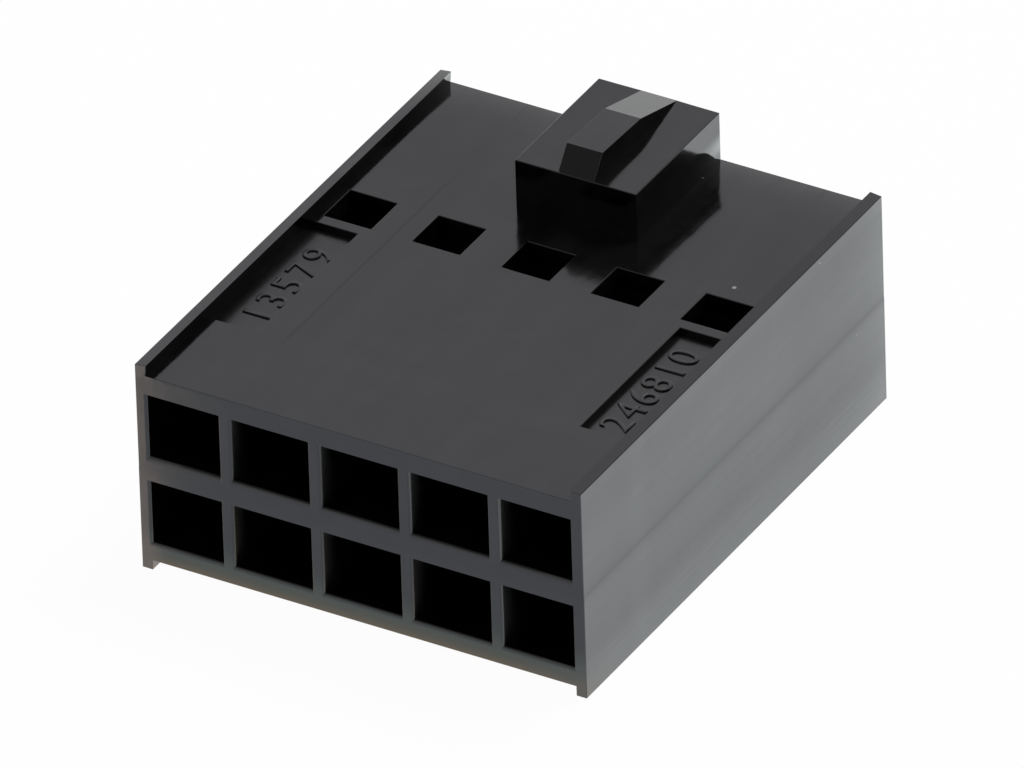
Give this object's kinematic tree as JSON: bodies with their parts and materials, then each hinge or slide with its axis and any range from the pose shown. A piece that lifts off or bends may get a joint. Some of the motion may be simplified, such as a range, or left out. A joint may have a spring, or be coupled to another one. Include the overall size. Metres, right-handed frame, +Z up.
{
  "type": "cable connector housing",
  "caption": "Rectangular black cable-side connector housing with rows of open terminal cavities, terminal lock windows, low edge rails and a ramped latch block on top.",
  "frame": {"origin": "under the middle of the housing, on the plane of the soles of its two lower rails", "axes": "+Z up through the latch block, +Y from the wire entry face to the mating face, +X across the circuits"},
  "size_m": [0.0126, 0.015, 0.0077],
  "materials": {
    "black_plastic": "moulded black thermoplastic, smooth and softly glossy"
  },
  "bodies": {
    "root": {"housing": "black_plastic"}
  },
  "joints": []
}
